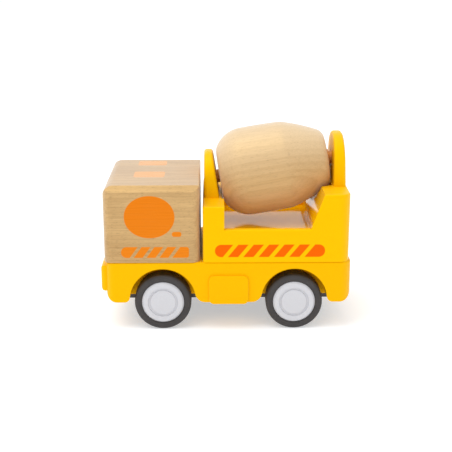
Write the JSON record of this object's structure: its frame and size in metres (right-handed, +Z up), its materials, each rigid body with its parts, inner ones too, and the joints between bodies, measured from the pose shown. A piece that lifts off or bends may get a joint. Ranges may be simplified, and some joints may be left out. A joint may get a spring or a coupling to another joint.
{
  "type": "push along truck",
  "caption": "Push-along toy cement mixer truck: plastic chassis, wooden cab block, and a turned wooden drum that spins on a dowel between two arches.",
  "frame": {"origin": "on the floor, under the centre of the overall box", "axes": "+X runs from the nose to the tail, +Y to the truck's right side, +Z up"},
  "size_m": [0.1228, 0.0664, 0.0982],
  "materials": {
    "yellow_plastic": "glossy moulded, warm yellow",
    "cab_wood": "satin lacquered beech with orange prints",
    "grey_plastic": "moulded, dark grey",
    "drum_wood": "satin lacquered beech, turned",
    "dowel_wood": "plain hardwood dowel",
    "white_plastic": "white moulded plastic, satin",
    "tyre_rubber": "matt dark grey rubber",
    "axle_steel": "plain steel rod",
    "screw_steel": "zinc plated"
  },
  "bodies": {
    "truck_body": {"chassis": "yellow_plastic", "base_plate": "grey_plastic", "cab_block": "cab_wood", "drum_cradle": "yellow_plastic", "base_plate_screws": "screw_steel", "cab_screws": "screw_steel", "cradle_screws": "screw_steel"},
    "front_wheelset": {"front_axle": "axle_steel", "hub_front_left": "white_plastic", "hub_front_right": "white_plastic", "tyre_front_left": "tyre_rubber", "tyre_front_right": "tyre_rubber"},
    "rear_wheelset": {"rear_axle": "axle_steel", "hub_rear_left": "white_plastic", "hub_rear_right": "white_plastic", "tyre_rear_left": "tyre_rubber", "tyre_rear_right": "tyre_rubber"},
    "drum": {"mixer_drum": "drum_wood", "drum_dowel": "dowel_wood", "drum_spacer": "dowel_wood"}
  },
  "joints": [
    {"name": "front_axle_spin", "type": "hinge", "parent": "truck_body", "child": "front_wheelset", "pos_m": [-0.0311, 0, 0.014], "axis": [0, 1, 0], "continuous": true},
    {"name": "rear_axle_spin", "type": "hinge", "parent": "truck_body", "child": "rear_wheelset", "pos_m": [0.0336, 0, 0.014], "axis": [0, 1, 0], "continuous": true},
    {"name": "drum_spin", "type": "hinge", "parent": "truck_body", "child": "drum", "pos_m": [-0.0026, 0, 0.071], "axis": [0.9863, 0, 0.165], "continuous": true}
  ]
}
